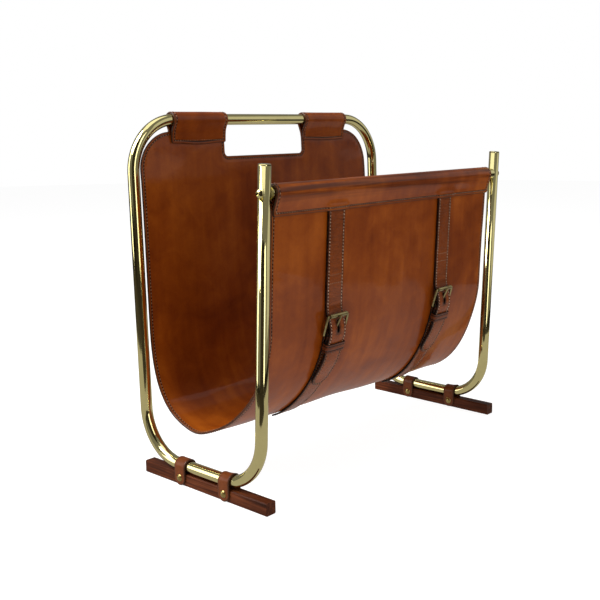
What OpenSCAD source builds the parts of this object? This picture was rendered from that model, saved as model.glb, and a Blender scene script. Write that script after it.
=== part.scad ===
// Magazine rack: a bent brass tube frame on two wooden feet, carrying a leather sling
// that is closed in front by two buckled straps.
// X runs along the top rail, Y from the open front to the tall back, Z up from the floor.

/* [Frame] */
// Outer diameter of the frame tube
tube_d = 12.7; // [11:0.1:14]
// Wall thickness of the frame tube
tube_wall = 1.2; // [0.8:0.1:2]
// Distance between the left and right tubes, centre to centre
frame_w = 403.5; // [390:0.5:420]
// Depth of the frame at its bottom run, between the corner points of the tube's centre line
base_d = 176.4; // [172:0.1:182]
// How far the bottom run's middle lies behind the origin
base_mid_y = 2.3; // [0:0.1:5]
// Height of the top rail's centre line
rail_z = 384.5; // [375:0.5:400]
// Height of the two front tube ends
front_top_z = 343; // [335:1:355]
// Backward lean of the back uprights, in degrees
back_lean = 1.4; // [0:0.1:3]
// Forward lean of the front uprights, in degrees
front_lean = 2.6; // [1:0.1:4]
// Centre-line radius of the two top bends
top_bend_r = 57; // [45:1:65]
// Centre-line radius of the four bottom bends
low_bend_r = 54; // [45:1:56]
// Height of the front crossbar's centre line
bar_z = 315.5; // [310:0.5:320]

/* [Feet] */
// Width of a foot bar
foot_w = 13; // [12:0.5:16]
// Height of a foot bar
foot_h = 13.4; // [12:0.1:16]
// Length of a foot bar
foot_len = 188; // [170:1:200]
// Middle of a foot bar, from front to back
foot_mid_y = -5.5; // [-10:0.5:0]
// Distance from a foot bar's middle to each of its two leather loops
loop_offset = 34.2; // [28:0.1:38]
// Width of a foot loop
loop_w = 16; // [14:0.5:18]
// Thickness of a foot loop
loop_t = 2; // [1.5:0.1:2.2]
// Height of the loop rivets
rivet_z = 8.6; // [8.6:0.1:9]

/* [Sling] */
// Width of the sling
sling_w = 378; // [360:1:379]
// How far the sling's middle lies from the frame's, along the rail
sling_shift = -5; // [-5:0.5:5]
// Thickness of one of the sling's two leather skins
skin_t = 1.5; // [1.2:0.1:1.6]
// Height of the back panel's top edge
panel_top_z = 371; // [365:1:374]
// Radius of the back panel's top corners
panel_corner_r = 43; // [30:1:50]
// Width of the hand hole
hand_w = 132; // [110:1:140]
// Height of the hand hole's bottom edge
hand_z = 342; // [335:1:350]
// Radius of the hand hole's lower corners
hand_r = 5; // [3:0.5:8]
// Distance between the outer edges of the two tabs that wrap the rail
tabs_w = 289; // [270:1:300]

/* [Straps] */
// Distance between the two straps, centre to centre
strap_gap = 193; // [160:1:220]
// Width of a strap
strap_w = 25.4; // [24:0.1:26]
// Thickness of the upper strap, the one with the tip
billet_t = 2.6; // [2.2:0.1:2.8]
// Thickness of the lower strap, the one that holds the buckle
chape_t = 1.8; // [1.8:0.1:2.4]
// Thickness of a keeper loop's band
keeper_t = 1.6; // [1.2:0.1:1.8]
// Width of a keeper loop's band
keeper_w = 9.5; // [8:0.5:11]

/* [Buckles] */
// Distance between the buckle's heel bar and its roller bar
buckle_len = 20; // [19:0.5:24]
// Distance between the buckle's two side bars, centre to centre
buckle_w = 31.4; // [31:0.1:34]
// Wire diameter of the buckle frame
buckle_wire = 3; // [2.6:0.1:3.2]
// Outer diameter of the roller
roller_d = 5; // [4.6:0.1:5.4]
// Diameter of the prong
prong_d = 2.4; // [2:0.1:2.6]

/* [Hidden] */

$fn = 64;
tube_r = tube_d / 2;
fit_gap = 0.05;           // clearance between turned pieces that are pressed or screwed together
leather_gap = 0.15;       // space left between leather pieces that are sewn flat on each other
base_z = foot_h + tube_r;
front_y = base_mid_y - base_d / 2;
back_y = base_mid_y + base_d / 2;
front_tan = low_bend_r * tan((90 - front_lean) / 2);
back_tan = low_bend_r * tan((90 - back_lean) / 2);
joint_gap = 0.02;
joint_turn = 0.02;        // the same gap as an angle of a bottom bend
run_half = round(50 * (base_d - front_tan - back_tan)) / 100;
rail_h = (rail_z - base_z) / cos(back_lean);
hoop_h = round(100 * (rail_h - back_tan - joint_gap)) / 100;
rail_y = back_y + rail_h * sin(back_lean);
plug_t = 1.5;
plug_depth = 8;
front_len = (front_top_z - base_z) / cos(front_lean) - plug_t;
bar_y = front_y - (bar_z - base_z) * tan(front_lean);
bar_half = frame_w / 2 - tube_r - fit_gap;
insert_len = 16;
screw_r = 2.5;

// ---- round stock -------------------------------------------------------------------

// A straight rod along +Z
module rod(d, len) cylinder(d = d, h = len);

// A bent rod in the XY plane about +Z, from the +X side
module rod_bend(d, r, angle) {
    rotate_extrude(angle = angle) translate([r, 0]) circle(d = d);
}

// ---- frame -------------------------------------------------------------------------

// The tube is drawn in five lengths that meet end to end with a hair's gap: the back hoop,
// the two bottom runs with their bends, and the two front uprights.

// The back hoop in its own plane: top rail, two top bends and two back uprights, on Z = 0
module hoop_rod(d, over) {
    side_x = frame_w / 2;
    translate([top_bend_r - side_x, 0, hoop_h]) rotate([0, 90, 0]) rod(d, frame_w - 2 * top_bend_r);
    translate([side_x - top_bend_r, 0, hoop_h - top_bend_r])
        rotate([90, 0, 0]) rod_bend(d, top_bend_r, 90);
    translate([top_bend_r - side_x, 0, hoop_h - top_bend_r])
        rotate([90, 0, 0]) rotate([0, 0, 90]) rod_bend(d, top_bend_r, 90);
    for (side = [-1, 1])
        translate([side * side_x, 0, -over]) rod(d, hoop_h - top_bend_r + over);
}

// A bottom run along Y with a bend up at each end, its middle over the origin
module bottom_rod(d, over) {
    translate([0, -run_half, 0]) rotate([-90, 0, 0]) rod(d, 2 * run_half);
    translate([0, run_half, low_bend_r]) rotate([90, 0, 90]) rotate([0, 0, 270])
        rod_bend(d, low_bend_r, 90 - back_lean - joint_turn + over);
    mirror([0, 1, 0]) translate([0, run_half, low_bend_r]) rotate([90, 0, 90]) rotate([0, 0, 270])
        rod_bend(d, low_bend_r, 90 - front_lean - joint_turn + over);
}

module frame_tube() color([0.80, 0.68, 0.36]) {
    bore_d = tube_d - 2 * tube_wall;
    translate([0, back_y, base_z]) rotate([-back_lean, 0, 0]) translate([0, 0, back_tan + joint_gap])
        difference() {
            hoop_rod(tube_d, 0);
            hoop_rod(bore_d, 1);
        }
    for (side = [-1, 1]) translate([side * frame_w / 2, 0, 0]) {
        translate([0, (front_y + front_tan + back_y - back_tan) / 2, base_z]) difference() {
            bottom_rod(tube_d, 0);
            bottom_rod(bore_d, 1);
        }
        difference() {
            translate([0, front_y, base_z]) rotate([front_lean, 0, 0])
                translate([0, 0, front_tan + joint_gap]) difference() {
                    rod(tube_d, front_len - front_tan - joint_gap);
                    translate([0, 0, -1]) rod(bore_d, front_len);
                }
            translate([-tube_d, bar_y, bar_z])
                rotate([0, 90, 0]) cylinder(r = screw_r + 0.1, h = 2 * tube_d);
        }
    }
}

// A closed end for a front upright: a cap with a softened rim and a spigot inside the tube
module end_plug(side) color([0.80, 0.68, 0.36])
    translate([side * frame_w / 2, front_y, base_z]) rotate([front_lean, 0, 0])
        translate([0, 0, front_len]) {
            cylinder(r = tube_r, h = plug_t - 0.6);
            translate([0, 0, plug_t - 0.6]) cylinder(r1 = tube_r, r2 = tube_r - 0.6, h = 0.6, $fn = 64);
            translate([0, 0, -plug_depth]) cylinder(r = tube_r - tube_wall - fit_gap, h = plug_depth);
        }

module crossbar() color([0.78, 0.66, 0.36])
    translate([-bar_half, bar_y, bar_z]) rotate([0, 90, 0]) difference() {
        rod(tube_d, 2 * bar_half);
        translate([0, 0, -1]) rod(tube_d - 2 * tube_wall, 2 * bar_half + 2);
    }

module crossbar_inserts() color([0.7, 0.7, 0.7])
    for (side = [-1, 1])
        translate([side * (bar_half - insert_len / 2), bar_y, bar_z]) rotate([0, 90, 0])
            difference() {
                cylinder(r = tube_r - tube_wall - fit_gap, h = insert_len, center = true);
                cylinder(r = screw_r + fit_gap, h = insert_len + 2, center = true);
            }

// A domed disc on the plane Z = 0, made from a ball of the right size
module dome(r, h) {
    ball = (r * r + h * h) / (2 * h);
    intersection() {
        translate([0, 0, h - ball]) sphere(r = ball, $fn = 96);
        cylinder(r = r + 1, h = h + 1);
    }
}

// A button-head screw through a front upright into the crossbar's insert
module crossbar_screw(side) color([0.80, 0.68, 0.36])
    translate([side * (frame_w / 2 + tube_r + fit_gap), bar_y, bar_z]) rotate([0, side * 90, 0])
        difference() {
            union() {
                dome(4.75, 2.75);
                translate([0, 0, -26]) cylinder(r = screw_r, h = 26.2);
            }
            translate([0, 0, 1.2]) cylinder(d = 3.4, h = 3, $fn = 6);
        }

// ---- feet --------------------------------------------------------------------------

module foot(side) color([0.30, 0.16, 0.10])
    difference() {
        translate([side * frame_w / 2, foot_mid_y + foot_len / 2, 0]) rotate([90, 0, 0])
            linear_extrude(foot_len) polygon([
                [-foot_w / 2 + 1, 0], [foot_w / 2 - 1, 0], [foot_w / 2, 1], [foot_w / 2, foot_h - 1],
                [foot_w / 2 - 1, foot_h - 0.05], [1 - foot_w / 2, foot_h - 0.05],
                [-foot_w / 2, foot_h - 1], [-foot_w / 2, 1]
            ]);
        for (end = [-1, 1])
            translate([side * frame_w / 2 - foot_w, foot_mid_y + end * loop_offset, rivet_z])
                rotate([0, 90, 0]) cylinder(r = 1.6, h = 2 * foot_w);
    }

// How much higher a loop's arch stands than the straight tube, to clear the bend's start
function loop_rise(end) = end < 0 ? 2 : 0.1;
loop_in = tube_r + 0.25;
loop_out = loop_in + loop_t;

// A leather loop over the tube, with a leg with a round end down each side of the foot
module foot_loop(side, end) color([0.45, 0.20, 0.09]) {
    top = base_z + loop_rise(end);
    translate([side * frame_w / 2, foot_mid_y + end * loop_offset, 0]) {
        translate([0, loop_w / 2, top]) rotate([90, 0, 0]) linear_extrude(loop_w)
            difference() {
                circle(r = loop_out);
                circle(r = loop_in);
                translate([-20, -40]) square([40, 40]);
            }
        for (leg = [-1, 1])
            translate([leg * (loop_in + loop_t / 2) - loop_t / 2, 0, rivet_z]) rotate([90, 0, 90])
                difference() {
                    linear_extrude(loop_t) union() {
                        circle(r = loop_w / 2);
                        translate([-loop_w / 2, 0]) square([loop_w, top - rivet_z]);
                    }
                    translate([0, 0, -1]) cylinder(r = 1.6, h = loop_t + 2);
                }
    }
}

rivet_face = loop_out + 0.05;

module rivet_posts(side) color([0.70, 0.56, 0.28])
    for (end = [-1, 1])
        translate([side * (frame_w / 2 + rivet_face), foot_mid_y + end * loop_offset, rivet_z])
            rotate([0, side * 90, 0]) {
                dome(4, 2);
                translate([0, 0, -2 * rivet_face - 0.8]) cylinder(r = 1.5, h = 2 * rivet_face + 1);
            }

module rivet_caps(side) color([0.70, 0.56, 0.28])
    for (end = [-1, 1])
        translate([side * (frame_w / 2 - rivet_face), foot_mid_y + end * loop_offset, rivet_z])
            rotate([0, -side * 90, 0]) difference() {
                dome(4, 2);
                translate([0, 0, -0.5]) cylinder(r = 1.5 + fit_gap, h = 1.5);
            }

// ---- leather paths -----------------------------------------------------------------

// A path is a list of [y, z] points. The sling's path runs from its front top down the front,
// round the bottom and up the back, so its outer side is on the right of its direction.
function bezier(a, b, c, d, n) = [
    for (i = [0 : n]) let (t = i / n, u = 1 - t)
        u * u * u * a + 3 * u * u * t * b + 3 * u * t * t * c + t * t * t * d
];
function arc(centre, r, from, to, n) = [
    for (i = [0 : n]) let (a = from + (to - from) * i / n) centre + r * [cos(a), sin(a)]
];
function unit(v) = v / norm(v);
function heading(p, i) = unit(p[min(i + 1, len(p) - 1)] - p[max(i - 1, 0)]);
function right_of(p, i) = [heading(p, i)[1], -heading(p, i)[0]];
function shifted(p, d) = [for (i = [0 : len(p) - 1]) p[i] + d * right_of(p, i)];
function reversed(p) = [for (i = [len(p) - 1 : -1 : 0]) p[i]];

// A flat band of leather along a path, between two distances from it, standing in the YZ plane
module band(path, d0, d1, width, mid_x) {
    translate([mid_x - width / 2, 0, 0]) rotate([90, 0, 90]) linear_extrude(width)
        polygon(concat(shifted(path, d0), reversed(shifted(path, d1))));
}

sheet_t = 2 * skin_t;
low_point = [11.3, 56.5];
front_seam = [bar_y + 1.2, 295.5];
front_low = [front_y - 6.1, 180];
back_low = [back_y + 0.8, 158];
back_seam = [rail_y + 0.7, 361];
front_pull = unit(front_low - front_seam);
back_pull = unit(back_seam - back_low);

// The hanging part of the sheet's middle line
hang = concat(
    [front_seam, (front_seam + front_low) / 2],
    bezier(front_low, front_low + 50 * front_pull, low_point - [62, 0], low_point, 18),
    [for (i = [1 : 18]) bezier(low_point, low_point + [48, 0], back_low - 85 * back_pull, back_low, 18)[i]],
    [(back_low + back_seam) / 2, back_seam]
);

// The sheet's middle line round the crossbar: from the sewn-down flap over the bar to the seam
wrap_r = tube_r + 0.35 + skin_t;
bar_c = [bar_y, bar_z];
flap = concat(
    [front_seam + [-sheet_t - leather_gap, -3], front_seam + [-sheet_t - leather_gap - 0.4, 3]],
    arc(bar_c, wrap_r, 197, -22, 20),
    [[front_seam[0] + 2.2, 304]]
);
// The sheet's middle line round the rail: from the seam up behind it and down to the tab's end
rail_c = [rail_y, rail_z];
tab = concat(
    [back_seam + [1.1, 7]],
    arc(rail_c, wrap_r, -12, 194, 18),
    [back_seam + [-sheet_t - leather_gap - 0.3, 4], back_seam + [-sheet_t - leather_gap, -2.5]]
);
sheet = concat(flap, hang, tab);

// What the sheet loses: the hand hole and the panel's outer corners, all cut along Y
module sheet_cuts() {
    cut_y = rail_y - 40;
    translate([sling_shift, cut_y, 0]) rotate([90, 0, 0]) mirror([0, 0, 1]) linear_extrude(80) {
        translate([-hand_w / 2, hand_z + hand_r]) square([hand_w, 80]);
        translate([-hand_w / 2 + hand_r, hand_z]) square([hand_w - 2 * hand_r, hand_r + 1]);
        for (side = [-1, 1]) {
            translate([side * (hand_w / 2 - hand_r), hand_z + hand_r]) circle(r = hand_r);
            translate([side * (tabs_w / 2 + 50), panel_top_z + 50]) square(100, center = true);
            difference() {
                translate([side * sling_w / 2, panel_top_z]) square(2 * panel_corner_r, center = true);
                translate([side * (sling_w / 2 - panel_corner_r), panel_top_z - panel_corner_r])
                    circle(r = panel_corner_r);
                translate([side * (sling_w / 2 - panel_corner_r), panel_top_z])
                    translate([-side * panel_corner_r, 0]) square(2 * panel_corner_r, center = true);
            }
        }
    }
}

module sling_skin(d0, d1) {
    difference() {
        band(sheet, d0, d1, sling_w, sling_shift);
        sheet_cuts();
    }
}

module sling_outer_skin() color([0.48, 0.21, 0.08]) sling_skin(0, skin_t);
module sling_inner_skin() color([0.36, 0.15, 0.06]) sling_skin(-skin_t, 0);

// ---- straps ------------------------------------------------------------------------

// Distance along the hanging line, counted downwards from the front seam
function run_to(p, i) = i == 0 ? 0 : run_to(p, i - 1) + norm(p[i] - p[i - 1]);
hang_run = [for (i = [0 : len(hang) - 1]) run_to(hang, i)];
hang_y = [for (i = [0 : len(hang) - 1]) [hang_run[i], hang[i][0]]];
hang_z = [for (i = [0 : len(hang) - 1]) [hang_run[i], hang[i][1]]];
out_y = [for (i = [0 : len(hang) - 1]) [hang_run[i], right_of(hang, i)[0]]];
out_z = [for (i = [0 : len(hang) - 1]) [hang_run[i], right_of(hang, i)[1]]];
// The point at distance s along the hanging line and d outwards from the sheet's middle
function on_hang(s, d) =
    [lookup(s, hang_y) + d * lookup(s, out_y), lookup(s, hang_z) + d * lookup(s, out_z)];
// A smooth rise between the knots [s, d] of a height profile
function height_at(s, knots) = let (
        k = max([for (i = [0 : len(knots) - 2]) if (s >= knots[i][0] - 0.001) i]),
        f = min(1, max(0, (s - knots[k][0]) / (knots[k + 1][0] - knots[k][0])))
    ) knots[k][1] + (knots[k + 1][1] - knots[k][1]) * (1 - cos(180 * f)) / 2;
function strap_path(knots, step) = let (a = knots[0][0], b = knots[len(knots) - 1][0], n = ceil((b - a) / step))
    [for (i = [0 : n]) let (s = a + (b - a) * i / n) on_hang(s, height_at(s, knots))];

strap_skin = skin_t + leather_gap;              // where a strap's back lies
heel_s = 131.5;                                  // the heel bar's place along the hanging line
roller_s = heel_s - buckle_len;
fold_r = buckle_wire / 2 + 0.2;                 // inside of the fold round the heel bar
heel_d = strap_skin + chape_t + fold_r;
keeper_s = heel_s + 13;
fold_end_s = heel_s + 20;
tip_s = heel_s + 63;
chape_end_s = heel_s + 135;
over_fold_d = heel_d + fold_r + chape_t + leather_gap + billet_t / 2;
keeper_back_d = strap_skin + chape_t + leather_gap;
fold_top_d = keeper_back_d + keeper_t + leather_gap + chape_t;
over_keeper_d = fold_top_d + leather_gap + billet_t / 2;
over_chape_d = strap_skin + chape_t + leather_gap + billet_t / 2;
flat_d = strap_skin + billet_t / 2;

billet_knots = [
    [4.5, flat_d], [roller_s - 10, flat_d], [heel_s - 1.5, over_fold_d + 0.1],
    [heel_s + 2, over_fold_d + 0.1], [keeper_s - 4, over_keeper_d], [fold_end_s + 1, over_keeper_d],
    [tip_s - 6, over_chape_d], [tip_s, over_chape_d]
];
roller_d_out = height_at(roller_s, billet_knots) + billet_t / 2 + 0.6 + roller_d / 2;

function strap_x(side) = sling_shift + side * strap_gap / 2;
function heel() = on_hang(heel_s, heel_d);
function roller() = on_hang(roller_s, roller_d_out);
buckle_dir = unit(roller() - heel());
buckle_span = norm(roller() - heel());
buckle_tilt = atan2(-buckle_dir[0], buckle_dir[1]);
hole_s = heel_s - 8;

// Puts its children in a buckle's own frame: X along the heel bar, Z from heel bar to roller
module at_buckle(side) {
    translate([strap_x(side), heel()[0], heel()[1]]) rotate([buckle_tilt, 0, 0]) children();
}

// The upper strap: sewn to the sling, then over the buckle and through the keeper to its tip
module billet_strap(side) color([0.42, 0.18, 0.08])
    difference() {
        band(strap_path(billet_knots, 3), -billet_t / 2, billet_t / 2, strap_w, strap_x(side));
        // the tip is rounded across its width
        translate([strap_x(side), on_hang(tip_s - strap_w / 2, 0)[0], on_hang(tip_s - strap_w / 2, 0)[1]])
            rotate([tip_tilt, 0, 0]) rotate([90, 0, 0]) translate([0, 0, -5]) linear_extrude(20)
                difference() {
                    translate([-strap_w, -strap_w]) square([2 * strap_w, strap_w]);
                    circle(d = strap_w);
                }
        // the punched slot that the prong comes through
        at_buckle(side) translate([0, 0, 7.5]) rotate([-5, 0, 0]) {
            translate([0, 0, -2.8]) rotate([90, 0, 0]) cylinder(r = 2, h = 40, center = true);
            translate([0, 0, 6.6]) rotate([90, 0, 0]) cylinder(r = 2, h = 40, center = true);
            translate([-2, -20, -2.8]) cube([4, 40, 9.4]);
        }
    }
tip_dir = unit(on_hang(tip_s - strap_w / 2, 0) - on_hang(tip_s, 0));
tip_tilt = atan2(-tip_dir[0], tip_dir[1]);

// The lower strap: from under the sling up to the heel bar, round it and back under the keeper
fold_from = atan2(-lookup(heel_s, out_z), -lookup(heel_s, out_y));
fold_knots = [
    [heel_s + 0.6, heel_d + fold_r + chape_t / 2], [heel_s + 7, fold_top_d - chape_t / 2],
    [fold_end_s, fold_top_d - chape_t / 2]
];
fold_path = concat(
    reversed(strap_path([[heel_s + 0.6, strap_skin + chape_t / 2], [chape_end_s, strap_skin + chape_t / 2]], 4)),
    arc(heel(), fold_r + chape_t / 2, fold_from, fold_from + 180, 14),
    strap_path(fold_knots, 3)
);
module buckle_strap(side) color([0.42, 0.18, 0.08])
    difference() {
        band(fold_path, -chape_t / 2, chape_t / 2, strap_w, strap_x(side));
        translate([strap_x(side) - 2.6, heel()[0], heel()[1]]) rotate([fold_tilt, 0, 0])
            translate([0, -20, -6]) cube([5.2, 40, 12]);
    }
fold_dir = [-lookup(heel_s, out_z), lookup(heel_s, out_y)];
fold_tilt = atan2(fold_dir[0], -fold_dir[1]);

// A band round the stacked straps; its back lies between the lower strap and its fold
module keeper(side) color([0.40, 0.17, 0.08]) {
    at = on_hang(keeper_s, keeper_back_d);
    out = [lookup(keeper_s, out_y), lookup(keeper_s, out_z)];
    high = over_keeper_d + billet_t / 2 + leather_gap + keeper_t - keeper_back_d;
    translate([strap_x(side), at[0], at[1]]) rotate([atan2(out[1], out[0]), 0, 0])
        linear_extrude(keeper_w, center = true) difference() {
            translate([-strap_w / 2 - keeper_t - 0.2, 0]) square([strap_w + 2 * keeper_t + 0.4, high]);
            translate([-strap_w / 2 - 0.2, keeper_t]) square([strap_w + 0.4, high - 2 * keeper_t]);
        }
}

// ---- buckles -----------------------------------------------------------------------

corner_r = 2.4;

module wire(len) cylinder(d = buckle_wire, h = len);

module buckle_frame(side) color([0.45, 0.36, 0.18]) at_buckle(side) {
    for (x = [-1, 1])
        translate([x * buckle_w / 2, 0, corner_r]) wire(buckle_span - 2 * corner_r);
    for (z = [0, buckle_span])
        translate([-buckle_w / 2 + corner_r, 0, z]) rotate([0, 90, 0]) wire(buckle_w - 2 * corner_r);
    for (turn = [0, 1, 2, 3]) {
        x = (turn == 0 || turn == 3 ? 1 : -1) * (buckle_w / 2 - corner_r);
        z = turn < 2 ? buckle_span - corner_r : corner_r;
        translate([x, 0, z]) rotate([90, 0, 0]) rotate([0, 0, 90 * turn])
            rotate_extrude(angle = 90) translate([corner_r, 0]) circle(d = buckle_wire);
    }
}

module buckle_roller(side) color([0.42, 0.34, 0.18]) at_buckle(side)
    translate([0, 0, buckle_span]) rotate([0, 90, 0]) difference() {
        cylinder(d = roller_d, h = buckle_w - 2 * corner_r - 0.6, center = true);
        cylinder(r = buckle_wire / 2 + 0.08, h = buckle_w, center = true);
    }

// The prong: an eye round the heel bar and a tongue that rests on the roller
prong_rise = asin((roller_d / 2 + prong_d / 2 + 0.3) / buckle_span);
module buckle_prong(side) color([0.50, 0.40, 0.20]) at_buckle(side) {
    rotate([0, 90, 0]) difference() {
        union() {
            cylinder(r = buckle_wire / 2 + 1.3, h = 3.6, center = true);
            rotate([0, -90, 0]) rotate([prong_rise, 0, 0]) cylinder(d = prong_d, h = buckle_span + 2.2);
        }
        cylinder(r = buckle_wire / 2 + 0.08, h = 10, center = true);
    }
}

// ---- assembly ----------------------------------------------------------------------

frame_tube();
end_plug(-1);  // end_plug_left
end_plug(1);  // end_plug_right
crossbar();
crossbar_inserts();
crossbar_screw(-1);  // crossbar_screw_left
crossbar_screw(1);  // crossbar_screw_right
sling_outer_skin();
sling_inner_skin();
billet_strap(-1);  // billet_strap_left
billet_strap(1);  // billet_strap_right
buckle_strap(-1);  // buckle_strap_left
buckle_strap(1);  // buckle_strap_right
keeper(-1);  // keeper_left
keeper(1);  // keeper_right
buckle_frame(-1);  // buckle_frame_left
buckle_frame(1);  // buckle_frame_right
buckle_roller(-1);  // buckle_roller_left
buckle_roller(1);  // buckle_roller_right
buckle_prong(-1);  // buckle_prong_left
buckle_prong(1);  // buckle_prong_right
foot(-1);  // foot_left
foot(1);  // foot_right
foot_loop(-1, -1);  // foot_loop_left_front
foot_loop(-1, 1);  // foot_loop_left_back
foot_loop(1, -1);  // foot_loop_right_front
foot_loop(1, 1);  // foot_loop_right_back
rivet_posts(-1);  // rivet_posts_left
rivet_posts(1);  // rivet_posts_right
rivet_caps(-1);  // rivet_caps_left
rivet_caps(1);  // rivet_caps_right
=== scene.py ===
import math
import random

import bpy
import numpy as np
from mathutils import Matrix, Vector
from mathutils.geometry import delaunay_2d_cdt

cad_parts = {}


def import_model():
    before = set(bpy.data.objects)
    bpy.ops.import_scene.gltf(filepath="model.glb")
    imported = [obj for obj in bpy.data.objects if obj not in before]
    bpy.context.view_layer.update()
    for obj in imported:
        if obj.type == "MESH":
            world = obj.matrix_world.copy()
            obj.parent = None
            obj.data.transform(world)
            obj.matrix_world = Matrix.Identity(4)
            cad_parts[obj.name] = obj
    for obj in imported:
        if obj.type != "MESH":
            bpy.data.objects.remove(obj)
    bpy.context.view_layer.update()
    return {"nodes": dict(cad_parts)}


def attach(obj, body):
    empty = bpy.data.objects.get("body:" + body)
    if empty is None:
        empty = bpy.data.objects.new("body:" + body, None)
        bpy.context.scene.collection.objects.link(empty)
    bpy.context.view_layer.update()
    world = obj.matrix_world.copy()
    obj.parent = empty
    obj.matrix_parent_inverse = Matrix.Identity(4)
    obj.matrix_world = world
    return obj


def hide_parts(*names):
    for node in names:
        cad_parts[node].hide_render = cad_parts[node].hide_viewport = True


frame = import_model()
nodes = frame["nodes"]
random.seed(7)
MM = 0.001  # the shapes below are worked out in millimetres
SIDES = ("left", "right")

# ---- the part's driving sizes, as in part.scad (mm) ----
TUBE_R = 6.35
FRAME_W = 403.5  # between the middle lines of the two sides
BASE_Y0, BASE_Y1 = -85.9, 90.5  # where the sides would meet the bottom run
BASE_Z, RAIL_Z = 19.75, 384.5  # middle lines of the bottom run and the top rail
LOW_R, TOP_R = 54.0, 57.0  # bends at the bottom and at the rail
BACK_LEAN, FRONT_LEAN = math.radians(1.4), math.radians(2.6)
RAIL_Y = BASE_Y1 + (RAIL_Z - BASE_Z) * math.tan(BACK_LEAN)
BAR_Z = 315.5
BAR_Y = BASE_Y0 - (BAR_Z - BASE_Z) * math.tan(FRONT_LEAN)
FRONT_END_Z = 343.0
PLUG_T = 1.5
FOOT_MID_Y = -5.5
LOOP_OFFSET = 34.2  # from the foot's middle to each loop
LOOP_W, LOOP_T, RIVET_Z = 16.0, 2.0, 8.6
SLING_W, SLING_X, SKIN = 378.0, -5.0, 1.5
PANEL_TOP, PANEL_R = 371.0, 43.0
HAND_W, HAND_Z, HAND_R = 132.0, 342.0, 5.0
TABS_W = 289.0  # over both tabs
STRAP_GAP, STRAP_W = 193.0, 25.4
BILLET_T, CHAPE_T = 2.6, 1.8  # upper and lower strap
KEEPER_T, KEEPER_W = 1.6, 9.5
WIRE, BUCKLE_LEN = 3.0, 20.0
GAP = 0.15  # between leathers that lie on each other

# ---- finer sizes of the leather, which only the looks need (mm) ----
HALF_T = 1.15  # half the sheet's thickness: its two skins, pressed together by the seams
EDGE_SEAM = 3.2  # from the sheet's edge to its stitching
STRAP_SEAM = 2.3  # from a strap's edge to its stitching
CROWN = 0.25  # how much a strap stands up along its middle
GROOVE_DEPTH = 0.28
BATCH = 1500  # points tested at a time, which keeps the tables small


# ---- small helpers ----
def smooth(a, b, x):
    t = np.clip((np.asarray(x, float) - a) / (b - a), 0, 1)
    return t * t * (3 - 2 * t)


def level(u, v):
    return np.zeros_like(u)


def arc(c, r, a0, a1, n):
    a = np.radians(np.linspace(a0, a1, n))
    return np.stack([c[0] + r * np.cos(a), c[1] + r * np.sin(a)], 1)


def bezier(a, b, c, d, n):
    t = np.linspace(0, 1, n)[:, None]
    u = 1 - t
    a, b, c, d = (np.asarray(p, float) for p in (a, b, c, d))
    return u ** 3 * a + 3 * u * u * t * b + 3 * u * t * t * c + t ** 3 * d


def lengths(line):
    """How far along a line each of its points lies."""
    return np.concatenate([[0], np.cumsum(np.linalg.norm(np.diff(line, axis=0), axis=1))])


def resample(p, step):
    p = np.asarray(p, float)
    s = lengths(p)
    keep = np.concatenate([[True], np.diff(s) > 1e-9])
    p, s = p[keep], s[keep]
    n = max(2, int(round(s[-1] / step)) + 1)
    q = np.linspace(0, s[-1], n)
    return np.stack([np.interp(q, s, p[:, k]) for k in range(p.shape[1])], 1)


def relax(p, sigma):
    """Rounds the kinks of an evenly spaced line, keeping its ends."""
    n = int(3 * sigma) + 1
    k = np.exp(-0.5 * (np.arange(-n, n + 1) / sigma) ** 2)
    k /= k.sum()
    head = 2 * p[0] - p[n:0:-1]
    tail = 2 * p[-1] - p[-2:-n - 2:-1]
    big = np.concatenate([head, p, tail])
    return np.stack([np.convolve(big[:, i], k, "valid") for i in range(p.shape[1])], 1)


def unit(v):
    v = np.asarray(v, float)
    return v / np.linalg.norm(v, axis=-1, keepdims=True)


def hoops(rows, sides):
    """Faces between neighbouring rows of points, where each row closes on itself."""
    faces = []
    for i in range(rows - 1):
        for k in range(sides):
            m = (k + 1) % sides
            faces.append((i * sides + k, i * sides + m, (i + 1) * sides + m, (i + 1) * sides + k))
    return faces


def lids(rows, sides):
    """The two end faces of such a stack of rows."""
    return [tuple(range(sides))[::-1], tuple(range((rows - 1) * sides, rows * sides))]


class Ribbon:
    """A line in space with a straight width direction: (u across, v along, d off it) -> point."""

    def __init__(self, points, width):
        self.p = np.asarray(points, float)
        self.w = np.asarray(width, float)
        self.s = lengths(self.p)
        self.t = unit(np.gradient(self.p, self.s, axis=0))
        self.n = np.cross(self.t, self.w)

    def look(self, table, v):
        return np.stack([np.interp(v, self.s, table[:, k]) for k in range(3)], -1)

    def place(self, u, v, d):
        u, v, d = (np.asarray(x, float) for x in (u, v, d))
        over = np.where(v > self.s[-1], v - self.s[-1], 0) + np.where(v < 0, v, 0)
        n = unit(self.look(self.n, v))
        t = unit(self.look(self.t, v))
        return (self.look(self.p, v) + u[..., None] * self.w + d[..., None] * n
                + over[..., None] * t)

    def along(self, v):
        return unit(self.look(self.t, v))


def flat_ribbon(yz, x=0.0):
    """A ribbon whose line lies in the plane at x and whose width runs along x."""
    return Ribbon(np.column_stack([np.zeros(len(yz)), yz]) + [x, 0, 0], (1, 0, 0))


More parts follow.
